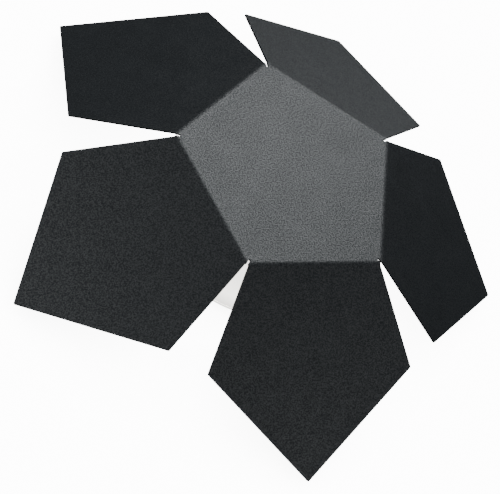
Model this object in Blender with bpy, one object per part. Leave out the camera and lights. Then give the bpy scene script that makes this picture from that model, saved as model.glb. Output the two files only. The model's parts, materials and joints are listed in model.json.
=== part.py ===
"""Wall and ceiling lamp with a shade folded from one sheet into a pentagon and five petals.

Metres, +Z up. The origin is the centre of the wall plate's back face, and +Z points away from the
wall. +Y points at one corner of the shade's middle pentagon. Everything is at rest: shade on its
post, terminal levers closed, colour-temperature slider in the middle.
"""

import math

import bmesh
import bpy
from mathutils import Matrix, Vector

MM = 0.001

# Driving dimensions of the shade
SIDE = 82 * MM  # side of the middle pentagon, between virtual corners
FOLD = math.radians(31.1)  # each petal's bend away from the middle pentagon
FACE_Z = 68 * MM  # the shade's front face above the wall
SHEET = 1.2 * MM
BEND_RADIUS = 6 * MM  # outer radius of each bend
SHOULDER_HALF = 0.7588 * SIDE  # half the petal's greatest width
SHOULDER_UP = 0.711 * SIDE  # from the bend line to that width
PETAL_LENGTH = 1.450 * SIDE  # from the bend line to the petal's point
CORNER_RADIUS = 0.8 * MM
RELIEF = 0.6 * MM  # sheet left out beside each corner so that the bends don't tear
PETAL_COUNT = 5
BEND_STEPS = 6

# Driving dimensions of the hub, which carries the shade on the base
HUB_RADIUS = 42 * MM
HUB_LOW = 46 * MM
HUB_THICK = 1.5 * MM
STUD_CIRCLE = 34 * MM
MAGNET_CIRCLE = 27 * MM
MAGNET_RADIUS = 8 * MM
STUD_COUNT = 3
POST_HALF = 4 * MM  # half the width of the post's square
COLLAR_RADIUS = 7.5 * MM
BUSH_RADIUS = 10.5 * MM

# Driving dimensions of the base
CUP_RADIUS = 52 * MM
CUP_WALL = 1.2 * MM
CUP_FOOT = 0.6 * MM  # the cup's rim stays clear of the wall
CUP_TOP = 38 * MM
PLATE_RADIUS = 48 * MM
PLATE_THICK = 2 * MM
EAR_FACE = 48.5 * MM
EAR_THICK = 2 * MM
CUP_SCREW_Z = 3.6 * MM
BAND_THICK = 1.0 * MM
BAND_LOW = 11 * MM
BAND_HIGH = 29 * MM
LED_COUNT = 20
LED_HALF = 2.8 * MM
LED_RISE = 0.8 * MM
RING_RADIUS = 60 * MM
RING_WALL = 2.4 * MM
RING_LOW = 7 * MM
RING_HIGH = 40.3 * MM
RING_LIP_RADIUS = 44 * MM  # the ring's lip rests on the cup's front
CABLE_HOLE = (0.0, -9 * MM)
CABLE_HOLE_RADIUS = 6 * MM
WALL_SLOT_X = 36 * MM

# Driving dimensions of the driver and the terminal block
DRIVER_LOW = (-30 * MM, 8 * MM, PLATE_THICK + 0.3 * MM)
DRIVER_HIGH = (30 * MM, 34 * MM, 20 * MM)
DRIVER_WALL = 1.6 * MM
SLIDER_AT = (18 * MM, 21 * MM)
SLIDER_TRAVEL = 3 * MM  # each way from the middle
TERMINAL_LOW = (-16 * MM, -36 * MM, PLATE_THICK + 0.3 * MM)
TERMINAL_HIGH = (16 * MM, -18 * MM, 12.5 * MM)
LEVER_PITCH = 10 * MM
LEVER_HALF = 3.9 * MM
LEVER_AXIS = (-21 * MM, 15.2 * MM)  # y and z of the pin
LEVER_REACH = 14 * MM
PIN_RADIUS = 0.9 * MM
EARTH_AT = (28 * MM, -22 * MM)

M3 = 1.5 * MM  # thread radii
M4 = 2 * MM
GAP = 0.3 * MM  # between pieces that touch
RUNNING = 0.1 * MM  # radial clearance of what turns or slides
NUT_HALF = 3.5 * MM  # half the width across a nut's flats

APOTHEM = SIDE / (2 * math.tan(math.pi / PETAL_COUNT))
CIRCUMRADIUS = SIDE / (2 * math.sin(math.pi / PETAL_COUNT))
PETAL_ANGLES = [math.radians(54 - 72 * k) for k in range(PETAL_COUNT)]
HUB_TOP = HUB_LOW + HUB_THICK
SHADE_BACK = FACE_Z - SHEET
CUP_FRONT = CUP_TOP - CUP_WALL
POST_FOOT = CUP_TOP + GAP + 1.2 * MM
COLLAR_SHOULDER = POST_FOOT + GAP + 1.6 * MM
BUSH_TOP = HUB_TOP + 3 * MM
LEAD_RADIUS = 0.9 * MM
LEAD_EXITS = [
    (CUP_RADIUS * math.cos(turn), CUP_RADIUS * math.sin(turn), z)
    for turn, z in ((math.radians(24), 14 * MM), (math.radians(24), 18 * MM))
]


def clear_scene():
    for obj in list(bpy.data.objects):
        bpy.data.objects.remove(obj, do_unlink=True)


def material(name, colour, roughness, metallic=0.0):
    made = bpy.data.materials.new(name)
    made.use_nodes = True
    shader = made.node_tree.nodes["Principled BSDF"]
    shader.inputs["Base Color"].default_value = (*colour, 1.0)
    shader.inputs["Roughness"].default_value = roughness
    shader.inputs["Metallic"].default_value = metallic
    return made


def add_object(name, mesh_data, finish, parent=None, smooth=True):
    obj = bpy.data.objects.new(name, mesh_data)
    bpy.context.scene.collection.objects.link(obj)
    mesh_data.materials.append(finish)
    if smooth and isinstance(mesh_data, bpy.types.Mesh):
        mesh_data.shade_smooth()
        mesh_data.set_sharp_from_angle(angle=math.radians(35))
    obj.parent = parent
    return obj


def from_bmesh(name, bm, finish, parent=None):
    bmesh.ops.recalc_face_normals(bm, faces=bm.faces)
    mesh_data = bpy.data.meshes.new(name)
    bm.to_mesh(mesh_data)
    bm.free()
    return add_object(name, mesh_data, finish, parent)


def empty_at(name, location):
    obj = bpy.data.objects.new(name, None)
    bpy.context.scene.collection.objects.link(obj)
    obj.location = location
    return obj


def circle(radius, steps, centre=(0.0, 0.0), start=0.0):
    turns = [start + 2 * math.pi * i / steps for i in range(steps)]
    return [(centre[0] + radius * math.cos(a), centre[1] + radius * math.sin(a)) for a in turns]


def rectangle(half_x, half_y, centre=(0.0, 0.0)):
    cx, cy = centre
    signs = [(-1, -1), (1, -1), (1, 1), (-1, 1)]
    return [(cx + sx * half_x, cy + sy * half_y) for sx, sy in signs]


def slot_outline(half_length, radius, centre, steps=8):
    """A slot along Y with round ends."""
    cx, cy = centre
    straight = half_length - radius
    points = []
    for end, first in ((1, 0.0), (-1, math.pi)):
        for i in range(steps + 1):
            a = first + math.pi * i / steps
            points.append((cx + radius * math.cos(a), cy + end * straight + radius * math.sin(a)))
    return points


def rounded(outline, radius, steps=3):
    """The outline with each corner replaced by an arc of that radius."""
    points = []
    count = len(outline)
    for i, corner in enumerate(outline):
        here = Vector(corner)
        before = (Vector(outline[i - 1]) - here).normalized()
        after = (Vector(outline[(i + 1) % count]) - here).normalized()
        half = before.angle(after) / 2
        centre = here + (before + after).normalized() * (radius / math.sin(half))
        first = here + before * (radius / math.tan(half)) - centre
        last = here + after * (radius / math.tan(half)) - centre
        for k in range(steps + 1):
            arm = first.lerp(last, k / steps).normalized() * radius
            points.append(tuple(centre + arm))
    return points


def plate(name, outline, low, high, finish, holes=(), parent=None):
    """A flat piece: the outline, less its holes, extruded from low to high."""
    bm = bmesh.new()
    edges = []
    for loop in [outline, *holes]:
        verts = [bm.verts.new((x, y, low)) for x, y in loop]
        edges += [bm.edges.new((verts[i - 1], verts[i])) for i in range(len(verts))]
    bmesh.ops.triangle_fill(bm, use_beauty=True, edges=edges, normal=(0, 0, 1))
    made = bmesh.ops.extrude_face_region(bm, geom=bm.faces[:])
    moved = [item for item in made["geom"] if isinstance(item, bmesh.types.BMVert)]
    bmesh.ops.translate(bm, vec=(0, 0, high - low), verts=moved)
    return from_bmesh(name, bm, finish, parent)


def turned(name, profile, finish, steps=48, parent=None, place=None):
    """A closed (radius, height) profile turned round Z. place is a matrix for the finished shape."""
    bm = bmesh.new()
    rings = []
    for radius, height in profile:
        if radius == 0:
            rings.append([bm.verts.new((0, 0, height))] * steps)
        else:
            rings.append([bm.verts.new((x, y, height)) for x, y in circle(radius, steps)])
    for i, ring in enumerate(rings):
        before = rings[i - 1]
        for k in range(steps):
            corners = [before[k - 1], before[k], ring[k], ring[k - 1]]
            unique = list(dict.fromkeys(corners))
            if len(unique) > 2:
                bm.faces.new(unique)
    if place is not None:
        bm.transform(place)
    return from_bmesh(name, bm, finish, parent)


def block(name, low, high, finish, bevel=0.0, parent=None):
    """A box between two corners, with its edges rounded over."""
    bm = bmesh.new()
    low, high = Vector(low), Vector(high)
    bmesh.ops.create_cube(bm, size=1.0)
    bmesh.ops.scale(bm, vec=high - low, verts=bm.verts)
    bmesh.ops.translate(bm, vec=(low + high) / 2, verts=bm.verts)
    if bevel:
        bmesh.ops.bevel(
            bm, geom=bm.edges[:], offset=bevel, segments=2, profile=0.5, affect="EDGES"
        )
    return from_bmesh(name, bm, finish, parent)


def combine(target, tool, operation="DIFFERENCE"):
    """Cuts the tool's shape out of the target or, with UNION, adds it. The tool stays as a guide."""
    tool.hide_render = True
    tool.display_type = "WIRE"
    modifier = target.modifiers.new(tool.name, "BOOLEAN")
    modifier.operation = operation
    modifier.solver = "EXACT"
    modifier.object = tool
    return target


def wire(name, points, radius, finish):
    """An insulated lead along a smooth curve through the points."""
    curve = bpy.data.curves.new(name, "CURVE")
    curve.dimensions = "3D"
    curve.bevel_depth = radius
    curve.bevel_resolution = 2
    curve.use_fill_caps = True
    route = smooth_route([Vector(p) for p in points])
    spline = curve.splines.new("POLY")
    spline.points.add(len(route) - 1)
    for point, place in zip(spline.points, route):
        point.co = (*place, 1.0)
    return add_object(name, curve, finish)


def smooth_route(points, steps=5):
    """Points on a Catmull-Rom curve through the route's own points."""
    ends = [2 * points[0] - points[1], *points, 2 * points[-1] - points[-2]]
    route = []
    for i in range(1, len(ends) - 2):
        a, b, c, d = ends[i - 1 : i + 3]
        for k in range(steps):
            t = k / steps
            route.append(
                0.5
                * (
                    2 * b
                    + (c - a) * t
                    + (2 * a - 5 * b + 4 * c - d) * t * t
                    + (3 * b - a - 3 * c + d) * t**3
                )
            )
    return [*route, points[-1]]


def petal_outline():
    """One petal flat in its own plane: (along the bend line, out from the bend line)."""
    setback = BEND_RADIUS * math.tan(FOLD / 2)
    half = SIDE / 2
    right = [(SHOULDER_HALF, SHOULDER_UP), (0.0, PETAL_LENGTH), (-SHOULDER_HALF, SHOULDER_UP)]
    tips = rounded([(half, 0.0), *right, (-half, 0.0)], CORNER_RADIUS)[4:-4]
    foot = half - RELIEF
    heel = (half - RELIEF / 2, setback + RELIEF)
    return [(foot, setback), heel, *tips, (-heel[0], heel[1]), (-foot, setback)]


def bend_half_width(outward):
    """Half the bend's width there, kept clear of the neighbouring bend at the pentagon's corner."""
    to_corner = (APOTHEM + outward) * math.tan(math.pi / PETAL_COUNT)
    return min(SIDE / 2, to_corner) - RELIEF


def bend_profile():
    """The bend's outer face across the bend line: (out, up) from the virtual corner."""
    setback = BEND_RADIUS * math.tan(FOLD / 2)
    turns = [FOLD * i / BEND_STEPS for i in range(BEND_STEPS + 1)]
    return [
        (BEND_RADIUS * math.sin(a) - setback, BEND_RADIUS * (math.cos(a) - 1)) for a in turns
    ]


def folded_shade(finish, parent):
    """The shade's outer face as one sheet, thickened towards the wall."""
    bm = bmesh.new()
    middle = []
    for turn in PETAL_ANGLES:
        out = Vector((math.cos(turn), math.sin(turn), 0))
        along = Vector((math.sin(turn), -math.cos(turn), 0))
        bend_line = out * APOTHEM + Vector((0, 0, FACE_Z))
        rows = []
        for outward, up in bend_profile():
            centre = bend_line + out * outward + Vector((0, 0, up))
            foot = bend_half_width(outward)
            rows.append([bm.verts.new(centre + along * side) for side in (-foot, foot)])
        for inner, outer in zip(rows, rows[1:]):
            bm.faces.new((inner[0], outer[0], outer[1], inner[1]))
        slope = out * math.cos(FOLD) - Vector((0, 0, math.sin(FOLD)))
        flat = [bend_line + along * x + slope * h for x, h in petal_outline()[1:-1]]
        bm.faces.new([rows[-1][1], *[bm.verts.new(p) for p in flat], rows[-1][0]])
        middle.append(rows[0])
    ring = []
    for k, (_, last) in enumerate(middle):
        following = middle[(k + 1) % PETAL_COUNT][0]
        ring += [middle[k][0], last]
        ring += relief_notch(bm, last.co, following.co)
    bm.faces.new(ring)
    bmesh.ops.recalc_face_normals(bm, faces=bm.faces)
    if max(bm.faces, key=lambda f: f.calc_center_median().z).normal.z < 0:
        bmesh.ops.reverse_faces(bm, faces=bm.faces)
    mesh_data = bpy.data.meshes.new("folded_shade")
    bm.to_mesh(mesh_data)
    bm.free()
    shade = add_object("folded_shade", mesh_data, finish, parent)
    thicken = shade.modifiers.new("sheet", "SOLIDIFY")
    thicken.thickness = SHEET
    thicken.offset = -1
    thicken.use_even_offset = True
    return shade


def relief_notch(bm, first, last, steps=6):
    """Points of the round notch cut into the middle pentagon's corner, between two bends."""
    centre = (first + last) / 2
    across = (first - last) / 2
    inward = Vector((-centre.x, -centre.y, 0)).normalized() * across.length
    points = []
    for i in range(1, steps):
        a = math.pi * i / steps
        points.append(bm.verts.new(centre + across * math.cos(a) + inward * math.sin(a)))
    return points


def on_circle(radius, index, count, start=math.pi / 2):
    a = start + 2 * math.pi * index / count
    return Vector((radius * math.cos(a), radius * math.sin(a), 0))


def screw(name, place, thread, head_height, length, finish):
    """A pan-head screw. Its head sits on z = 0 of place and its shank points down -Z."""
    head = 1.85 * thread
    turns = [math.pi / 2 * i / 4 for i in range(4)]
    dome = [(head * math.cos(a), head_height * math.sin(a)) for a in turns]
    shank = thread * 0.85
    profile = [(0, -length), (shank * 0.8, -length), (shank, shank * 0.4 - length), (shank, 0)]
    profile += [*dome, (head * 0.35, head_height * 0.97), (head * 0.3, head_height * 0.4)]
    profile += [(0, head_height * 0.4)]
    return turned(name, profile, finish, steps=16, place=place)


def nut(name, at, top, finish, thread=M4, parent=None):
    """A hexagon nut whose top face is at that height."""
    flats = NUT_HALF * thread / M4
    hexagon = circle(flats / math.cos(math.pi / 6), 6, at)
    low = top - 1.6 * thread
    return plate(name, hexagon, low, top, finish, [circle(thread + GAP, 16, at)], parent)


def drill(name, place, radius, length, finish):
    """A round cutter centred on place, along its Z."""
    profile = [(0, -length / 2), (radius, -length / 2), (radius, length / 2), (0, length / 2)]
    return turned(name, profile, finish, steps=16, place=place)


def along_x(at):
    return Matrix.Translation(at) @ Matrix.Rotation(math.pi / 2, 4, "Y")


def along_y(at):
    return Matrix.Translation(at) @ Matrix.Rotation(math.pi / 2, 4, "X")


def make_studs(finishes, hub):
    """The studs welded to the back of the shade, their spacers and their nuts."""
    head = 0.8 * MM
    top = SHADE_BACK - GAP
    for i in range(STUD_COUNT):
        at = on_circle(STUD_CIRCLE, i, STUD_COUNT)
        move = Matrix.Translation(at)
        stud = [(0, HUB_LOW - 6 * MM), (M4 * 0.8, HUB_LOW - 6 * MM), (M4, HUB_LOW - 5 * MM),
                (M4, top - head), (1.8 * M4, top - head), (1.8 * M4, top), (0, top)]
        turned(f"weld_stud_{i + 1}", stud, finishes["zinc"], 16, hub, move)
        sleeve = [(M4 + GAP, HUB_TOP + GAP), (2.5 * M4, HUB_TOP + GAP),
                  (2.5 * M4, top - head - GAP), (M4 + GAP, top - head - GAP)]
        turned(f"stud_spacer_{i + 1}", sleeve, finishes["aluminium"], 24, hub, move)
        nut(f"stud_nut_{i + 1}", (at.x, at.y), HUB_LOW - GAP, finishes["zinc"], parent=hub)


def make_magnets(finishes, hub):
    """Pot magnets with a stud through the hub plate, which hold the hub to the steel cup."""
    low, top, rim = CUP_TOP + GAP, HUB_LOW - GAP, 0.8 * MM
    stud = M3 * 0.9
    stud_top = HUB_TOP + 4 * MM
    face = 0.68 * MAGNET_RADIUS
    for i in range(STUD_COUNT):
        at = on_circle(MAGNET_CIRCLE, i, STUD_COUNT, -math.pi / 2)
        pot = [(0, low + 0.6 * MM), (face, low + 0.6 * MM), (face, low), (MAGNET_RADIUS - rim, low),
               (MAGNET_RADIUS, low + rim), (MAGNET_RADIUS, top - rim), (MAGNET_RADIUS - rim, top),
               (stud, top), (stud, stud_top), (0, stud_top)]
        turned(f"pot_magnet_{i + 1}", pot, finishes["nickel"], 24, hub, Matrix.Translation(at))
        nut(f"magnet_nut_{i + 1}", (at.x, at.y), HUB_TOP + GAP + 1.6 * M3, finishes["zinc"], M3, hub)


def make_hub(finishes, hub):
    holes = [circle(BUSH_RADIUS - 1.5 * MM, 32)]
    for i in range(STUD_COUNT):
        stud = on_circle(STUD_CIRCLE, i, STUD_COUNT)
        magnet = on_circle(MAGNET_CIRCLE, i, STUD_COUNT, -math.pi / 2)
        holes += [circle(M4 + GAP, 16, (stud.x, stud.y)), circle(M3 + GAP, 16, (magnet.x, magnet.y))]
    plate("hub_plate", circle(HUB_RADIUS, 64), HUB_LOW, HUB_TOP, finishes["zinc"], holes, hub)
    bore, neck = COLLAR_RADIUS + RUNNING, BUSH_RADIUS - 1.5 * MM - GAP
    flange = BUSH_RADIUS + 1 * MM
    bush = [(bore, COLLAR_SHOULDER + GAP), (flange, COLLAR_SHOULDER + GAP), (flange, HUB_LOW - GAP),
            (neck, HUB_LOW - GAP), (neck, BUSH_TOP), (bore, BUSH_TOP)]
    turned("hub_bush", bush, finishes["nylon"], 32, hub)


def make_collar(finishes):
    """The collar that lifts off the square post, and what keeps the hub's bush on it."""
    low, high = POST_FOOT + GAP, HUB_TOP + 7 * MM
    collar = [(0, low), (BUSH_RADIUS, low), (BUSH_RADIUS, COLLAR_SHOULDER),
              (COLLAR_RADIUS, COLLAR_SHOULDER), (COLLAR_RADIUS, high), (0, high)]
    square = rectangle(POST_HALF + 2 * RUNNING, POST_HALF + 2 * RUNNING)
    bore = plate("square_bore", square, low - 1 * MM, high + 1 * MM, finishes["brass"])
    combine(turned("keyed_collar", collar, finishes["brass"], 48), bore)
    inner = COLLAR_RADIUS + RUNNING
    for name, base, outer, thick in (
        ("friction_washer", BUSH_TOP + GAP, BUSH_RADIUS, 0.6 * MM),
        ("retaining_clip", BUSH_TOP + 2 * GAP + 0.6 * MM, COLLAR_RADIUS + 1.8 * MM, 1 * MM),
    ):
        ring = [(inner, base), (outer, base), (outer, base + thick), (inner, base + thick)]
        turned(name, ring, finishes["spring"], 32)


def make_post(finishes):
    low, foot = CUP_FRONT - 7 * MM, CUP_TOP + GAP
    stem = [(0, low), (M4 * 0.8, low), (M4, low + 1 * MM), (M4, foot), (7 * MM, foot),
            (7 * MM, POST_FOOT), (0, POST_FOOT)]
    square = rounded(rectangle(POST_HALF, POST_HALF), 0.8 * MM)
    upper = plate("post_square", square, POST_FOOT - 0.5 * MM, HUB_TOP + 9 * MM, finishes["zinc"])
    combine(turned("centre_post", stem, finishes["zinc"], 24), upper, "UNION")
    washer_low = CUP_FRONT - GAP - 0.8 * MM
    ring = [(M4 + GAP, washer_low), (2.2 * M4, washer_low), (2.2 * M4, CUP_FRONT - GAP),
            (M4 + GAP, CUP_FRONT - GAP)]
    turned("post_washer", ring, finishes["zinc"], 24)
    nut("post_nut", (0, 0), washer_low - GAP, finishes["zinc"])


def quarter(radius, height, curve):
    """A rounded outer corner of a turned profile, from the side up to the top."""
    turns = [math.pi / 2 * i / 4 for i in range(5)]
    return [(radius - curve * (1 - math.cos(a)), height - curve * (1 - math.sin(a))) for a in turns]


def make_cup(finishes):
    inner, bend = CUP_RADIUS - CUP_WALL, 2 * MM
    profile = [(inner, CUP_FOOT), (CUP_RADIUS, CUP_FOOT), *quarter(CUP_RADIUS, CUP_TOP, bend),
               (M4 + GAP, CUP_TOP), (M4 + GAP, CUP_FRONT), (inner - bend / 2, CUP_FRONT),
               (inner, CUP_FRONT - bend / 2)]
    cup = turned("base_cup", profile, finishes["white"], 64)
    zinc = finishes["zinc"]
    for side, label in ((1, "right"), (-1, "left")):
        aim = Matrix.Translation((side * CUP_RADIUS, 0, CUP_SCREW_Z))
        aim @= Matrix.Rotation(side * math.pi / 2, 4, "Y")
        combine(cup, drill(f"cup_drill_{label}", aim, M3 + GAP, 8 * MM, zinc))
        screw(f"cup_screw_{label}", aim @ Matrix.Translation((0, 0, GAP)), M3, 1.6 * MM, 6 * MM, zinc)
    for x, y, z in LEAD_EXITS:
        aim = Matrix.Translation((x, y, z)) @ Vector((x, y, 0)).to_track_quat("Z", "Y").to_matrix().to_4x4()
        combine(cup, drill(f"lead_drill_{z:.4f}", aim, LEAD_RADIUS + GAP, 6 * MM, zinc))


def make_light_ring(finishes):
    """The light band round the cup, the opal ring over it with a lip on the cup, and its keeper."""
    make_led_band(finishes["led"])
    wall, lip = RING_RADIUS - RING_WALL, CUP_TOP + GAP
    keeper_top = RING_LOW + 1.6 * MM
    ring = [(wall, keeper_top + GAP), (RING_RADIUS, keeper_top + GAP),
            *quarter(RING_RADIUS, RING_HIGH, RING_WALL), (RING_LIP_RADIUS, RING_HIGH),
            (RING_LIP_RADIUS, lip), (wall, lip)]
    turned("diffuser_ring", ring, finishes["opal"], 72)
    inner = CUP_RADIUS + GAP
    keeper = [(inner, RING_LOW), (RING_RADIUS, RING_LOW), (RING_RADIUS, keeper_top),
              (inner, keeper_top)]
    turned("keeper_ring", keeper, finishes["opal"], 72)


def make_led_band(finish):
    """The flexible board round the cup, with a light-emitting package on every third facet."""
    inner, outer = CUP_RADIUS + GAP, CUP_RADIUS + GAP + BAND_THICK
    middle = (BAND_LOW + BAND_HIGH) / 2
    heights = [BAND_LOW, middle - LED_HALF, middle + LED_HALF, BAND_HIGH]
    profile = [(inner, BAND_LOW), *[(outer, z) for z in heights], (inner, BAND_HIGH)]
    band = turned("led_band", profile, finish, 3 * LED_COUNT)
    bm = bmesh.new()
    bm.from_mesh(band.data)
    bm.faces.ensure_lookup_table()
    packages = []
    for face in bm.faces:
        centre = face.calc_center_median()
        turn = math.degrees(math.atan2(centre.y, centre.x)) % (360 / LED_COUNT)
        outside = face.normal.dot(Vector((centre.x, centre.y, 0)).normalized()) > 0.9
        if outside and abs(centre.z - middle) < 0.1 * MM and turn < 360 / LED_COUNT / 3:
            packages.append(face)
    bmesh.ops.inset_individual(bm, faces=packages, thickness=0.3 * MM, depth=0)
    for face in packages:
        outward = face.normal * LED_RISE
        made = bmesh.ops.extrude_discrete_faces(bm, faces=[face])
        bmesh.ops.translate(bm, vec=outward, verts=made["faces"][0].verts)
    bm.to_mesh(band.data)
    bm.free()


def make_wall_plate(finishes):
    zinc = finishes["zinc"]
    holes = [slot_outline(7 * MM, 2.3 * MM, (side * WALL_SLOT_X, 0)) for side in (-1, 1)]
    holes.append(circle(CABLE_HOLE_RADIUS, 32, CABLE_HOLE))
    holes.append(circle(M4 * 0.85 + GAP, 16, EARTH_AT))
    holes += [circle(M3 * 0.85 + GAP, 16, at) for at in driver_screw_places()]
    base = plate("wall_plate", circle(PLATE_RADIUS, 64), 0, PLATE_THICK, zinc, holes)
    for side, label in ((1, "right"), (-1, "left")):
        faces = sorted((side * (EAR_FACE - EAR_THICK), side * EAR_FACE))
        ear = block(f"ear_{label}", (faces[0], -7 * MM, 0.5 * MM), (faces[1], 7 * MM, 8 * MM), zinc)
        combine(base, ear, "UNION")
        thread = drill(f"ear_drill_{label}", along_x((side * EAR_FACE, 0, CUP_SCREW_Z)), M3, 8 * MM, zinc)
        combine(base, thread)
    groove = PLATE_THICK + GAP
    x, y = CABLE_HOLE
    bore, neck, lip = 4.2 * MM, CABLE_HOLE_RADIUS - GAP, CABLE_HOLE_RADIUS + 1.8 * MM
    grommet = [(bore, GAP), (neck, GAP), (neck, groove), (lip, groove), (lip - 0.6 * MM, groove + 1.4 * MM),
               (bore, groove + 1.4 * MM)]
    turned("cable_grommet", grommet, finishes["rubber"], 32, place=Matrix.Translation((x, y, 0)))


def driver_screw_places():
    """Centres of the driver's two fixing screws, beyond its ends."""
    middle = (DRIVER_LOW[1] + DRIVER_HIGH[1]) / 2
    return [(DRIVER_LOW[0] - 4 * MM, middle), (DRIVER_HIGH[0] + 4 * MM, middle)]


def make_driver(finishes):
    """The driver's case with its fixing feet, its board and parts, and the cover with the slider."""
    low, high = Vector(DRIVER_LOW), Vector(DRIVER_HIGH)
    shell = finishes["grey"]
    case = block("driver_case", low, high, shell, 1 * MM)
    foot_top = low.z + 2 * MM
    for label, (x, y) in zip(("left", "right"), driver_screw_places()):
        reach = sorted((x, math.copysign(high.x - 2 * MM, x)))
        tab = block(f"foot_{label}", (reach[0] - 4 * MM * (x < 0), y - 4.5 * MM, low.z),
                    (reach[1] + 4 * MM * (x > 0), y + 4.5 * MM, foot_top), shell)
        combine(case, tab, "UNION")
        move = Matrix.Translation((x, y, foot_top))
        combine(case, drill(f"foot_drill_{label}", move, M3 + GAP, 12 * MM, shell))
        screw(f"driver_screw_{label}", move @ Matrix.Translation((0, 0, GAP)), M3, 1.6 * MM,
              4.2 * MM, finishes["zinc"])
    wall = Vector((DRIVER_WALL, DRIVER_WALL, DRIVER_WALL))
    combine(case, block("driver_cavity", low + wall, high + Vector((-wall.x, -wall.y, 5 * MM)), shell))
    inside_low, inside_high = low + wall, high - wall
    board_low = inside_low.z + 2.5 * MM
    board = rectangle((inside_high.x - inside_low.x) / 2 - GAP, (inside_high.y - inside_low.y) / 2 - GAP,
                      (0, (low.y + high.y) / 2))
    plate("driver_board", board, board_low, board_low + 1.6 * MM, finishes["board"])
    top = board_low + 1.6 * MM + GAP
    middle = (low.y + high.y) / 2
    block("driver_transformer", (-13 * MM, middle - 7 * MM, top), (2 * MM, middle + 7 * MM, 18.5 * MM),
          finishes["ferrite"], 0.8 * MM)
    can = [(0, top), (4 * MM, top), (4 * MM, 17.5 * MM), (3.4 * MM, 18 * MM), (0, 18 * MM)]
    turned("driver_capacitor", can, finishes["aluminium"], 24,
           place=Matrix.Translation((-20 * MM, middle, 0)))
    make_driver_cover(finishes, high.z + GAP)


def make_driver_cover(finishes, low):
    thick = 1.6 * MM
    half_x = (DRIVER_HIGH[0] - DRIVER_LOW[0]) / 2
    half_y = (DRIVER_HIGH[1] - DRIVER_LOW[1]) / 2
    middle = (0, (DRIVER_LOW[1] + DRIVER_HIGH[1]) / 2)
    stem = 1.4 * MM
    window = rectangle(SLIDER_TRAVEL + stem + GAP, stem + GAP, SLIDER_AT)
    outline = rounded(rectangle(half_x, half_y, middle), 1.5 * MM)
    plate("driver_cover", outline, low, low + thick, finishes["grey"], [window])
    x, y = SLIDER_AT
    top = low + thick + GAP
    knob_x, knob_y, knob_high = 2.2 * MM, 2.6 * MM, 1.8 * MM
    knob = block("cct_slider", (-knob_x, -knob_y, 0), (knob_x, knob_y, knob_high),
                 finishes["white"], 0.4 * MM)
    knob.location = (x, y, top)
    leg = block("slider_stem", (x - stem, y - stem, low - 1 * MM), (x + stem, y + stem, top + 1 * MM),
                finishes["white"])
    combine(knob, leg, "UNION")


def make_terminal(finishes):
    """The mains terminal block: three poles, each with a lever that turns on one pin."""
    low, high = Vector(TERMINAL_LOW), Vector(TERMINAL_HIGH)
    body = block("terminal_body", low, high, finishes["white"], 0.6 * MM)
    pin_y, pin_z = LEVER_AXIS
    walls = [(-1.5 + i) * LEVER_PITCH for i in range(4)]
    for i, x in enumerate(walls):
        cheek = block(f"cheek_{i}", (x - 0.8 * MM, pin_y - 2.4 * MM, high.z - 1 * MM),
                      (x + 0.8 * MM, high.y - 0.7 * MM, pin_z + 2 * MM), finishes["white"])
        combine(body, cheek, "UNION")
    pin_hole = drill("pin_drill", along_x((0, pin_y, pin_z)), PIN_RADIUS + GAP, 40 * MM, finishes["zinc"])
    combine(body, pin_hole)
    half = 1.5 * LEVER_PITCH + 0.8 * MM
    pin = [(0, -half), (PIN_RADIUS, -half), (PIN_RADIUS, half), (0, half)]
    turned("lever_pin", pin, finishes["zinc"], 16, place=along_x((0, pin_y, pin_z)))
    for i, pole in enumerate(("live", "neutral", "earth")):
        x = (i - 1) * LEVER_PITCH
        entry = drill(f"entry_{pole}", along_y((x, low.y, 6.5 * MM)), 1.8 * MM, 16 * MM, finishes["zinc"])
        combine(body, entry)
        lever(f"{pole}_lever", x, finishes["orange"])


def lever(name, x, finish):
    """A lever whose eye turns on the pin and whose arm lies along the block's top."""
    pin_y, pin_z = LEVER_AXIS
    eye = 1.9 * MM
    turns = [math.radians(a) for a in range(-90, 91, 20)]
    outline = [(pin_y + eye * math.cos(a), pin_z + eye * math.sin(a)) for a in turns]
    outline += [(pin_y - LEVER_REACH, pin_z + eye), (pin_y - LEVER_REACH - 1 * MM, pin_z + eye - 0.6 * MM),
                (pin_y - LEVER_REACH - 1 * MM, pin_z + 0.2 * MM), (pin_y - 4 * MM, pin_z - 0.2 * MM),
                (pin_y - 2 * MM, pin_z - eye)]
    turn_up = Matrix(((0, 0, 1), (1, 0, 0), (0, 1, 0))).to_4x4()
    made = plate(name, outline, -LEVER_HALF, LEVER_HALF, finish,
                 [circle(PIN_RADIUS + RUNNING, 16, LEVER_AXIS)])
    made.data.transform(Matrix.Translation((x, 0, 0)) @ turn_up)
    made.data.transform(Matrix.Translation((-x, -pin_y, -pin_z)))
    made.location = (x, pin_y, pin_z)
    return made


def make_earth(finishes):
    x, y = EARTH_AT
    base = PLATE_THICK + GAP
    for name, low, thick, outer, finish in (
        ("earth_lug", base, 0.8 * MM, 3.6 * MM, "brass"),
        ("earth_washer", base + 0.8 * MM + GAP, 0.8 * MM, 4.2 * MM, "zinc"),
    ):
        ring = [(M4 + GAP, low), (outer, low), (outer, low + thick), (M4 + GAP, low + thick)]
        turned(name, ring, finishes[finish], 24, place=Matrix.Translation((x, y, 0)))
    head = base + 2 * (0.8 * MM + GAP)
    screw("earth_screw", Matrix.Translation((x, y, head)), M4, 2 * MM, head - GAP, finishes["zinc"])


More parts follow.
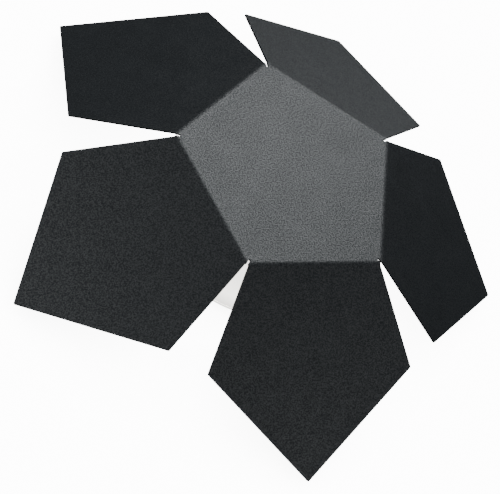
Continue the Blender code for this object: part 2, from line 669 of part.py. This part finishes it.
def make_leads(finishes):
    """The leads inside the cup: terminal block to driver and earth screw, driver to light band."""
    back = TERMINAL_HIGH[1] + GAP
    front = DRIVER_LOW[1] - GAP
    past_exit = 0.1 * MM
    for name, x, finish in (("live_lead", -1, "brown"), ("neutral_lead", 0, "blue")):
        start_x = x * LEVER_PITCH
        bulge = -13 * MM + x * 2 * MM
        points = [(start_x, back, 7 * MM), (start_x, back + 3 * MM, 7 * MM),
                  (bulge, -9 * MM, 9 * MM - x * 2 * MM), (bulge, 2 * MM, 9.5 * MM),
                  (bulge, front - 2 * MM, 10 * MM), (bulge, front, 10 * MM)]
        wire(name, points, LEAD_RADIUS, finishes[finish])
    x, y = EARTH_AT
    points = [(LEVER_PITCH, back, 7 * MM), (LEVER_PITCH, back + 3 * MM, 7 * MM),
              (18 * MM, -9 * MM, 6 * MM), (x - 3 * MM, -9.5 * MM, 4.6 * MM),
              (x, y + 8 * MM, 3.4 * MM), (x, y + 4.7 * MM, 3.4 * MM)]
    wire("earth_lead", points, LEAD_RADIUS, finishes["green"])
    for name, exit_point, finish in (
        ("led_lead_plus", LEAD_EXITS[0], "red"),
        ("led_lead_minus", LEAD_EXITS[1], "black"),
    ):
        end = Vector(exit_point)
        inward = -Vector((end.x, end.y, 0)).normalized()
        start = Vector((DRIVER_HIGH[0] + GAP, end.y - 4 * MM, end.z - 3 * MM))
        points = [start, start + Vector((2.5 * MM, 0, 0)), end + inward * 7 * MM, end + inward * 3 * MM,
                  end - inward * past_exit]
        wire(name, points, LEAD_RADIUS, finishes[finish])


def main():
    clear_scene()
    finishes = {
        "coat": material("anthracite_coat", (0.028, 0.031, 0.034), 0.5),
        "white": material("white_coat", (0.8, 0.8, 0.78), 0.5),
        "grey": material("grey_plastic", (0.3, 0.31, 0.32), 0.5),
        "orange": material("orange_lever", (0.8, 0.28, 0.05), 0.45),
        "rubber": material("rubber", (0.03, 0.03, 0.03), 0.7),
        "board": material("circuit_board", (0.05, 0.25, 0.1), 0.5),
        "ferrite": material("ferrite", (0.08, 0.08, 0.09), 0.6),
        "zinc": material("zinc_plate", (0.62, 0.63, 0.65), 0.35, 1.0),
        "aluminium": material("aluminium", (0.7, 0.7, 0.71), 0.35, 1.0),
        "nickel": material("nickel", (0.66, 0.64, 0.6), 0.2, 1.0),
        "brass": material("brass", (0.72, 0.55, 0.28), 0.3, 1.0),
        "spring": material("spring_steel", (0.3, 0.3, 0.32), 0.3, 1.0),
        "nylon": material("nylon", (0.75, 0.74, 0.7), 0.5),
        "opal": material("opal_acrylic", (0.9, 0.9, 0.88), 0.4),
        "led": material("led_board", (0.85, 0.85, 0.8), 0.5),
        "brown": material("brown_insulation", (0.16, 0.07, 0.03), 0.5),
        "blue": material("blue_insulation", (0.05, 0.15, 0.5), 0.5),
        "green": material("green_insulation", (0.1, 0.4, 0.08), 0.5),
        "red": material("red_insulation", (0.5, 0.04, 0.03), 0.5),
        "black": material("black_insulation", (0.02, 0.02, 0.02), 0.5),
    }
    hub = empty_at("shade_axis", (0, 0, 0))
    folded_shade(finishes["coat"], hub)
    make_studs(finishes, hub)
    make_magnets(finishes, hub)
    make_hub(finishes, hub)
    make_collar(finishes)
    make_post(finishes)
    make_cup(finishes)
    make_light_ring(finishes)
    make_wall_plate(finishes)
    make_driver(finishes)
    make_terminal(finishes)
    make_earth(finishes)
    make_leads(finishes)


main()
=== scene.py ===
"""Looks of the folded-shade wall lamp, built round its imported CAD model. Metres, +Z away from the wall."""

import json
import math

import bmesh
import bpy
from mathutils import Matrix, Vector


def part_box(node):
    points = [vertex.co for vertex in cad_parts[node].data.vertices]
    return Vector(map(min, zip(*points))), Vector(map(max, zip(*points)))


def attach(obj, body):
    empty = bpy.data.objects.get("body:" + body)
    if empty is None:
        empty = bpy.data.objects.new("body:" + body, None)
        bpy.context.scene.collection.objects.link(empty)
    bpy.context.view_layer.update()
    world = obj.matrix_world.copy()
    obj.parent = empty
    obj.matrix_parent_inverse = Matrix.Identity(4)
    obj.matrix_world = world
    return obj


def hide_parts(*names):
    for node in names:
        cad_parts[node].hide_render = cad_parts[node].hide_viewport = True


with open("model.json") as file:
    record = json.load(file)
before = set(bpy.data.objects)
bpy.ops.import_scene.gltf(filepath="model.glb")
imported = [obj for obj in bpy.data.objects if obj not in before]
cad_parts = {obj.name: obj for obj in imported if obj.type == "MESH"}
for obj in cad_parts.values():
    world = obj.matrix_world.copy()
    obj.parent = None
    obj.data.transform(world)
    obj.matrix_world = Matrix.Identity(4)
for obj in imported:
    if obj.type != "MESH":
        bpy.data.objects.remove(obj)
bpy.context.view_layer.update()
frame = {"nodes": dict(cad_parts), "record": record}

MM = 0.001
NODES = frame["nodes"]
FACE_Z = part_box("folded_shade")[1].z  # the shade's flat front

# The shade, as in the CAD
SIDE = 82 * MM
FOLD = math.radians(31.1)
SHEET = 1.2 * MM
BEND_RADIUS = 6 * MM
SHOULDER_HALF = 0.7588 * SIDE
SHOULDER_UP = 0.711 * SIDE
PETAL_LENGTH = 1.450 * SIDE
CORNER_RADIUS = 0.8 * MM
RELIEF = 0.6 * MM
PETAL_COUNT = 5
APOTHEM = SIDE / (2 * math.tan(math.pi / PETAL_COUNT))
PETAL_ANGLES = [math.radians(54 - 72 * k) for k in range(PETAL_COUNT)]
BEND_STEPS = 14
EDGE_ROUND = 0.16 * MM

# The camera looks down at the shade from this direction
CAMERA_AIM = Vector((-0.0373, -0.0465, FACE_Z - 0.0002))
CAMERA_AZIMUTH = math.radians(-138.53)
CAMERA_ELEVATION = math.radians(52.89)
CAMERA_ROLL = math.radians(41.82)
CAMERA_DISTANCE = 0.9925
CAMERA_LENS = 134.9
SENSOR = 36.0

# The stage and the studio light
STAGE_GLOW = 13.0
# The floor's darkening near the lamp is a painted contact shadow, made from ambient occlusion
STAGE_SHADE = 0.45  # how much the floor darkens where the lamp comes close to it
STAGE_SHADE_REACH = 50 * MM
STAGE_SHADE_FROM, STAGE_SHADE_TO = 0.2, 0.9
STAGE_SINK = 0.4 * MM  # how far the floor lies below the wall plate
WORLD_GLOW = 0.006
SOFTBOX_TINT = (0.95, 0.985, 1.0)
SOFTBOX_SIZE = (0.6, 0.5)
SOFTBOX_DISTANCE = 1.6
SOFTBOX_AIM = Vector((0, 0, 0.04))
SOFTBOXES = [  # name, azimuth, elevation, power
    ("key", 45, 55, 7.0),
    ("key_left", 70, 55, 7.9),
    ("back_card", 45, 30, 4.5),
    ("low_card", 45, 5, 1.4),
    ("front_fill", -60, 30, 2.7),
    ("left_fill", 175, 30, 7.3),
]

# Finishes
COAT_GRAIN = 0.8 * MM
COAT_SPARKLE = 0.65  # how far a grain's gloss strays from the coat's own
LAMP_GLOW = 3.6  # the lamp is lit
BAND_OUTER = 53.3 * MM  # the light band's radius under its packages
BAND_MIDDLE = 20 * MM  # the light band's middle height, where the ring glows most


def direction(azimuth, elevation):
    flat = math.cos(elevation)
    return Vector((flat * math.cos(azimuth), flat * math.sin(azimuth), math.sin(elevation)))


# ---- camera, stage and light


def make_camera():
    data = bpy.data.cameras.new("camera")
    data.lens = CAMERA_LENS
    data.sensor_width = SENSOR
    data.clip_start = 0.01
    camera = bpy.data.objects.new("camera", data)
    bpy.context.scene.collection.objects.link(camera)
    back = direction(CAMERA_AZIMUTH, CAMERA_ELEVATION)
    right = Vector((0, 0, 1)).cross(back).normalized()
    turn = Matrix((right, back.cross(right), back)).transposed().to_4x4()
    turn @= Matrix.Rotation(CAMERA_ROLL, 4, "Z")
    camera.matrix_world = Matrix.Translation(CAMERA_AIM + back * CAMERA_DISTANCE) @ turn
    bpy.context.scene.camera = camera


def make_stage():
    """A pale floor that curves up into a backdrop, with a painted contact shadow where the lamp comes close.
    It shows to the camera only.
    """
    finish, shader = new_material("stage_white")
    set_values(shader, base=(0.8, 0.8, 0.8), roughness=1.0, specular=0.0)
    shader.inputs["Emission Color"].default_value = (1, 1, 1, 1)
    graph = Graph(finish)
    # Painted shadow: ambient occlusion dims the floor's glow where the lamp comes close
    near = graph.add("ShaderNodeAmbientOcclusion", samples=8)
    near.inputs["Distance"].default_value = STAGE_SHADE_REACH
    painted_shadow_factor = graph.ramp(near.outputs["AO"], 1 - STAGE_SHADE, 1.0, STAGE_SHADE_FROM, STAGE_SHADE_TO)
    graph.link(graph.math("MULTIPLY", painted_shadow_factor, STAGE_GLOW), shader.inputs["Emission Strength"])
    bm = bmesh.new()
    steps, flat, sweep = 96, 1.6, 1.2
    profile = [(flat * k / 4, 0.0) for k in range(1, 5)]
    profile += [
        (flat + sweep * math.sin(a), sweep * (1 - math.cos(a)))
        for a in [math.radians(6 * k) for k in range(1, 16)]
    ]
    profile.append((flat + sweep, 5.0))
    hub = bm.verts.new((0, 0, 0))
    before = None
    for radius, height in profile:
        ring = [
            bm.verts.new((radius * math.cos(a), radius * math.sin(a), height))
            for a in [2 * math.pi * i / steps for i in range(steps)]
        ]
        for i in range(steps):
            if before is None:
                bm.faces.new((hub, ring[i - 1], ring[i]))
            else:
                bm.faces.new((before[i - 1], ring[i - 1], ring[i], before[i]))
        before = ring
    stage = mesh_object("stage", bm, finish)
    stage.location.z = -STAGE_SINK
    stage.visible_glossy = False
    stage.visible_diffuse = False


def softbox(name, azimuth, elevation, power):
    data = bpy.data.lights.new(name, "AREA")
    data.shape = "RECTANGLE"
    data.size, data.size_y = SOFTBOX_SIZE
    data.energy = power
    data.color = SOFTBOX_TINT
    lamp = bpy.data.objects.new(name, data)
    bpy.context.scene.collection.objects.link(lamp)
    out = direction(math.radians(azimuth), math.radians(elevation))
    lamp.location = SOFTBOX_AIM + out * SOFTBOX_DISTANCE
    lamp.rotation_euler = out.to_track_quat("Z", "Y").to_euler()
    lamp.visible_camera = False


def make_light():
    world = bpy.data.worlds.new("studio")
    bpy.context.scene.world = world
    world.use_nodes = True
    background = world.node_tree.nodes["Background"]
    background.inputs["Color"].default_value = (1, 1, 1, 1)
    background.inputs["Strength"].default_value = WORLD_GLOW
    for spec in SOFTBOXES:
        softbox(*spec)


# ---- materials


def new_material(name):
    """A new material and its shader."""
    made = bpy.data.materials.new(name)
    made.use_nodes = True
    return made, made.node_tree.nodes["Principled BSDF"]


def set_values(shader, base=None, roughness=None, metallic=None, specular=None):
    if base is not None:
        shader.inputs["Base Color"].default_value = (*base, 1.0)
    if roughness is not None:
        shader.inputs["Roughness"].default_value = roughness
    if metallic is not None:
        shader.inputs["Metallic"].default_value = metallic
    if specular is not None:
        shader.inputs["Specular IOR Level"].default_value = specular


class Graph:
    """Adds nodes to a material and links them, with positions in metres as the coordinate."""

    def __init__(self, finish):
        self.tree = finish.node_tree
        self.where = self.add("ShaderNodeTexCoord").outputs["Object"]

    def add(self, kind, **values):
        node = self.tree.nodes.new(kind)
        for key, value in values.items():
            setattr(node, key, value)
        return node

    def link(self, source, target):
        self.tree.links.new(source, target)

    def stretched(self, scale):
        mapping = self.add("ShaderNodeMapping")
        mapping.inputs["Scale"].default_value = scale
        self.link(self.where, mapping.inputs["Vector"])
        return mapping.outputs["Vector"]

    def noise(self, size, detail=2.0, stretch=None, rough=0.5):
        """Noise whose cells are about that many metres across."""
        node = self.add("ShaderNodeTexNoise")
        node.inputs["Scale"].default_value = 1.0 / size
        node.inputs["Detail"].default_value = detail
        node.inputs["Roughness"].default_value = rough
        self.link(self.stretched(stretch) if stretch else self.where, node.inputs["Vector"])
        return node.outputs["Fac"]

    def ramp(self, source, low, high, start=0.3, end=0.7):
        """Maps a value onto a range of numbers."""
        node = self.add("ShaderNodeMapRange")
        node.inputs["From Min"].default_value = start
        node.inputs["From Max"].default_value = end
        node.inputs["To Min"].default_value = low
        node.inputs["To Max"].default_value = high
        self.link(source, node.inputs["Value"])
        return node.outputs["Result"]

    def mix(self, factor, first, second):
        """Blends two colours. Inputs 6 and 7 and output 2 are the node's colour sockets."""
        node = self.add("ShaderNodeMix", data_type="RGBA")
        self.link(factor, node.inputs["Factor"])
        for socket, colour in ((node.inputs[6], first), (node.inputs[7], second)):
            if isinstance(colour, tuple):
                socket.default_value = (*colour, 1.0)
            else:
                self.link(colour, socket)
        return node.outputs[2]

    def math(self, operation, first, second):
        node = self.add("ShaderNodeMath", operation=operation)
        for socket, value in zip(node.inputs, (first, second)):
            if isinstance(value, (int, float)):
                socket.default_value = value
            else:
                self.link(value, socket)
        return node.outputs["Value"]

    def axis(self, name):
        node = self.add("ShaderNodeSeparateXYZ")
        self.link(self.where, node.inputs["Vector"])
        return node.outputs[name]

    def bump(self, height, depth, under=None):
        node = self.add("ShaderNodeBump")
        node.inputs["Strength"].default_value = 1.0
        node.inputs["Distance"].default_value = depth
        self.link(height, node.inputs["Height"])
        if under is not None:
            self.link(under, node.inputs["Normal"])
        return node.outputs["Normal"]


def shade_of(colour, factor):
    return tuple(min(1.0, part * factor) for part in colour)


def grained(name, base, roughness, metallic=0.0, vary=0.12, patch=6 * MM, grain=0.5 * MM,
            depth=0.01 * MM, stretch=None, specular=None):
    """A finish with slow patches of colour and gloss, and a fine grain in its relief."""
    finish, shader = new_material(name)
    set_values(shader, base, roughness, metallic, specular)
    graph = Graph(finish)
    patches = graph.ramp(graph.noise(patch, 3.0), 0.0, 1.0)
    graph.link(
        graph.mix(patches, shade_of(base, 1 - vary), shade_of(base, 1 + vary)),
        shader.inputs["Base Color"],
    )
    gloss = graph.noise(patch * 0.4, 3.0, stretch)
    graph.link(graph.ramp(gloss, roughness * 0.85, roughness * 1.15), shader.inputs["Roughness"])
    graph.link(graph.bump(graph.noise(grain, 2.0, stretch), depth), shader.inputs["Normal"])
    return finish, shader, graph


def powder_coat(name, base, roughness, grain_depth, specular):
    """Fine-textured powder coat: hard little grains over a slow orange peel, a few grains shinier."""
    finish, shader = new_material(name)
    set_values(shader, base, roughness, 0.0, specular)
    graph = Graph(finish)
    patches = graph.ramp(graph.noise(28 * MM, 3.0), 0.0, 1.0)
    cloudy = graph.mix(patches, shade_of(base, 0.93), shade_of(base, 1.07))
    grains = graph.noise(COAT_GRAIN, 1.5, rough=0.6)
    fleck = graph.ramp(grains, 0.0, 1.0, 0.38, 0.62)
    graph.link(cloudy, shader.inputs["Base Color"])
    graph.link(
        graph.ramp(fleck, specular * (1 - COAT_SPARKLE), specular * (1 + COAT_SPARKLE), 0.0, 1.0),
        shader.inputs["Specular IOR Level"],
    )
    graph.link(
        graph.ramp(graph.noise(9 * MM, 2.0), roughness * 0.94, roughness * 1.06),
        shader.inputs["Roughness"],
    )
    peel = graph.bump(graph.noise(5 * MM, 1.0), 0.006 * MM)
    graph.link(graph.bump(grains, grain_depth, peel), shader.inputs["Normal"])
    return finish


def threaded(name, base, roughness, pitch):
    """Plated steel with a screw thread's fine ridges across Z."""
    finish, shader, graph = grained(name, base, roughness, 1.0)
    turns = graph.math("MULTIPLY", graph.axis("Z"), 2 * math.pi / pitch)
    ridges = graph.math("SINE", turns, 0.0)
    under = shader.inputs["Normal"].links[0].from_socket
    graph.link(graph.bump(ridges, 0.12 * MM, under), shader.inputs["Normal"])
    return finish


def turned_metal(name, base, roughness):
    """Machined metal with the fine rings that a lathe leaves."""
    finish, shader, graph = grained(name, base, roughness, 1.0, vary=0.08)
    rings = graph.add("ShaderNodeTexWave", wave_type="RINGS", rings_direction="Z")
    rings.inputs["Scale"].default_value = 1400.0
    rings.inputs["Distortion"].default_value = 1.5
    graph.link(graph.where, rings.inputs["Vector"])
    under = shader.inputs["Normal"].links[0].from_socket
    graph.link(graph.bump(rings.outputs["Fac"], 0.01 * MM, under), shader.inputs["Normal"])
    return finish


def light_band(name):
    """White circuit board with yellow light packages, told apart by their radius."""
    finish, shader, graph = grained(name, (0.78, 0.78, 0.74), 0.4, vary=0.05)
    squares = [graph.math("MULTIPLY", graph.axis(a), graph.axis(a)) for a in ("X", "Y")]
    radius = graph.math("SQRT", graph.math("ADD", *squares), 0.0)
    package = graph.ramp(radius, 0.0, 1.0, BAND_OUTER + 0.3 * MM, BAND_OUTER + 0.4 * MM)
    white = shader.inputs["Base Color"].links[0].from_socket
    graph.link(graph.mix(package, white, (0.82, 0.62, 0.12)), shader.inputs["Base Color"])
    return finish


def striped(name, first, second):
    """Insulation with a stripe, as on an earth lead."""
    finish, shader, graph = grained(name, first, 0.42, vary=0.08)
    wave = graph.add("ShaderNodeTexWave", bands_direction="DIAGONAL")
    wave.inputs["Scale"].default_value = 60.0
    graph.link(graph.where, wave.inputs["Vector"])
    stripe = graph.ramp(wave.outputs["Fac"], 0.0, 1.0, 0.55, 0.6)
    plain = shader.inputs["Base Color"].links[0].from_socket
    graph.link(graph.mix(stripe, plain, second), shader.inputs["Base Color"])
    return finish


def opal(name):
    """Lit opal acrylic, brightest beside the light band and fainter towards its rims."""
    finish, shader, graph = grained(name, (0.86, 0.86, 0.84), 0.32, vary=0.02, depth=0.004 * MM)
    shader.inputs["Subsurface Weight"].default_value = 0.5
    shader.inputs["Subsurface Radius"].default_value = (3 * MM, 3 * MM, 3 * MM)
    shader.inputs["Emission Color"].default_value = (1.0, 0.97, 0.92, 1.0)
    height = graph.ramp(graph.axis("Z"), 0.55, 1.0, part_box("keeper_ring")[0].z, BAND_MIDDLE)
    lip = graph.ramp(graph.axis("Z"), 1.0, 0.8, BAND_MIDDLE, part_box("diffuser_ring")[1].z)
    glow = graph.math("MULTIPLY", graph.math("MULTIPLY", height, lip), LAMP_GLOW)
    graph.link(glow, shader.inputs["Emission Strength"])
    return finish


def plain(*args, **kwargs):
    return grained(*args, **kwargs)[0]


def make_finishes():
    zinc = (0.62, 0.63, 0.65)
    return {
        "anthracite_coat": powder_coat("anthracite_coat", (0.024, 0.0265, 0.029), 0.44, 0.14 * MM, 0.5),
        "white_coat": powder_coat("white_coat", (0.78, 0.78, 0.76), 0.5, 0.04 * MM, 0.5),
        "zinc_plate": plain("zinc_plate", zinc, 0.34, 1.0, vary=0.1, stretch=(1, 14, 1)),
        "zinc_thread": threaded("zinc_thread", zinc, 0.34, 0.7 * MM),
        "spring_steel": plain("spring_steel", (0.26, 0.26, 0.28), 0.3, 1.0, vary=0.2),
        "nickel": turned_metal("nickel", (0.66, 0.64, 0.6), 0.2),
        "aluminium": turned_metal("aluminium", (0.7, 0.7, 0.71), 0.32),
        "brass": turned_metal("brass", (0.7, 0.52, 0.24), 0.28),
        "nylon": plain("nylon", (0.72, 0.71, 0.66), 0.45, vary=0.06),
        "grey_plastic": plain("grey_plastic", (0.3, 0.31, 0.32), 0.5, vary=0.05, grain=0.35 * MM),
        "white_plastic": plain("white_plastic", (0.78, 0.78, 0.75), 0.38, vary=0.04, grain=0.35 * MM),
        "orange_plastic": plain("orange_plastic", (0.8, 0.24, 0.03), 0.3, vary=0.08),
        "rubber": plain("rubber", (0.022, 0.022, 0.023), 0.65, vary=0.3, depth=0.03 * MM),
        "opal_acrylic": opal("opal_acrylic"),
        "led_board": light_band("led_board"),
        "circuit_board": plain("circuit_board", (0.03, 0.2, 0.08), 0.35, vary=0.25, patch=3 * MM),
        "ferrite": plain("ferrite", (0.07, 0.07, 0.08), 0.6, vary=0.25),
        "brown_insulation": plain("brown_insulation", (0.13, 0.055, 0.025), 0.42, vary=0.1),
        "blue_insulation": plain("blue_insulation", (0.03, 0.12, 0.45), 0.42, vary=0.1),
        "green_insulation": striped("green_insulation", (0.05, 0.3, 0.06), (0.75, 0.62, 0.05)),
        "red_insulation": plain("red_insulation", (0.45, 0.03, 0.025), 0.42, vary=0.1),
        "black_insulation": plain("black_insulation", (0.018, 0.018, 0.018), 0.42, vary=0.2),
    }


def dress_nodes(finishes):
    """Gives each CAD node the finish that the record names for it. Threaded pieces get their ridges."""
    threads = ("weld_stud", "centre_post")
    for part in frame["record"]["subparts"]:
        node = NODES[part["node"]]
        finish = finishes[part["material_slot"]]
        if node.name.startswith(threads):
            finish = finishes["zinc_thread"]
        node.data.materials.clear()
        node.data.materials.append(finish)


# ---- meshes


def mesh_object(name, bm, finish):
    bmesh.ops.recalc_face_normals(bm, faces=bm.faces)
    data = bpy.data.meshes.new(name)
    bm.to_mesh(data)
    bm.free()
    data.materials.append(finish)
    data.shade_smooth()
    data.set_sharp_from_angle(angle=math.radians(32))
    made = bpy.data.objects.new(name, data)
    bpy.context.scene.collection.objects.link(made)
    return made


def stand_in(piece, body, node):
    """Puts a piece in the place of one CAD node."""
    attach(piece, body)
    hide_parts(node)


def rounded(outline, radius, steps=8):
    """The outline with each corner turned into an arc."""
    points = []
    for i, corner in enumerate(outline):
        here = Vector(corner)
        before = (Vector(outline[i - 1]) - here).normalized()
        after = (Vector(outline[(i + 1) % len(outline)]) - here).normalized()
        half = before.angle(after) / 2
        centre = here + (before + after).normalized() * (radius / math.sin(half))
        first = here + before * (radius / math.tan(half)) - centre
        last = here + after * (radius / math.tan(half)) - centre
        arms = [first.lerp(last, k / steps).normalized() * radius for k in range(steps + 1)]
        points += [centre + arm for arm in arms]
    return points


def petal_tips():
    """The petal's three free corners, rounded, from the right shoulder round to the left."""
    steps = 8
    half = SIDE / 2
    corners = [(half, 0), (SHOULDER_HALF, SHOULDER_UP), (0, PETAL_LENGTH), (-SHOULDER_HALF, SHOULDER_UP),
               (-half, 0)]
    return rounded(corners, CORNER_RADIUS, steps)[steps + 1 : -steps - 1]


def bend_half_width(outward):
    """Half the bend's width there, kept clear of the neighbouring bend at the pentagon's corner."""
    to_corner = (APOTHEM + outward) * math.tan(math.pi / PETAL_COUNT)
    return min(SIDE / 2, to_corner) - RELIEF


def shade_sheet(finish):
    """The whole shade as one folded sheet, with round relief notches and softly broken edges."""
    setback = BEND_RADIUS * math.tan(FOLD / 2)
    bm = bmesh.new()
    inner_ends = []
    for turn in PETAL_ANGLES:
        out = Vector((math.cos(turn), math.sin(turn), 0))
        along = Vector((math.sin(turn), -math.cos(turn), 0))
        line = out * APOTHEM + Vector((0, 0, FACE_Z))
        rows = []
        for step in range(BEND_STEPS + 1):
            a = FOLD * step / BEND_STEPS
            reach, drop = BEND_RADIUS * math.sin(a) - setback, BEND_RADIUS * (1 - math.cos(a))
            middle = line + out * reach - Vector((0, 0, drop))
            foot = bend_half_width(reach)
            rows.append([bm.verts.new(middle + along * side) for side in (-foot, foot)])
        for inner, outer in zip(rows, rows[1:]):
            bm.faces.new((inner[0], outer[0], outer[1], inner[1]))
        slope = out * math.cos(FOLD) - Vector((0, 0, math.sin(FOLD)))
        heel = (SIDE / 2 - RELIEF / 2, setback + RELIEF)
        flat = [heel, *petal_tips(), (-heel[0], heel[1])]
        ring = [bm.verts.new(line + along * x + slope * h) for x, h in flat]
        fan(bm, [rows[-1][1], *ring, rows[-1][0]], line + slope * SHOULDER_UP)
        inner_ends.append(rows[0])
    border = []
    for k, (start, end) in enumerate(inner_ends):
        following = inner_ends[(k + 1) % PETAL_COUNT][0]
        border += [start, end, *relief_notch(bm, end.co, following.co)]
    fan(bm, border, Vector((0, 0, FACE_Z)))
    made = mesh_object("shade_sheet", bm, finish)
    if made.data.polygons[-1].normal.z < 0:
        made.data.flip_normals()
    sheet = made.modifiers.new("sheet", "SOLIDIFY")
    sheet.thickness = SHEET
    sheet.offset = -1
    sheet.use_even_offset = True
    edge = made.modifiers.new("edge", "BEVEL")
    edge.width = EDGE_ROUND
    edge.segments = 3
    edge.limit_method = "ANGLE"
    edge.angle_limit = math.radians(50)
    made.modifiers.new("flat_faces", "WEIGHTED_NORMAL").weight = 100
    return made


def fan(bm, border, centre):
    """Triangles from a point inside a flat outline to each of its edges."""
    hub = bm.verts.new(centre)
    for i, corner in enumerate(border):
        bm.faces.new((border[i - 1], corner, hub))


def relief_notch(bm, first, last, steps=10):
    """Points of the round notch between two bends, in the middle pentagon's corner."""
    centre, across = (first + last) / 2, (first - last) / 2
    inward = Vector((-centre.x, -centre.y, 0)).normalized() * across.length
    turns = [math.pi * i / steps for i in range(1, steps)]
    return [bm.verts.new(centre + across * math.cos(a) + inward * math.sin(a)) for a in turns]


FINISHES = make_finishes()
make_camera()
make_stage()
make_light()
dress_nodes(FINISHES)
stand_in(shade_sheet(FINISHES["anthracite_coat"]), "shade", "folded_shade")
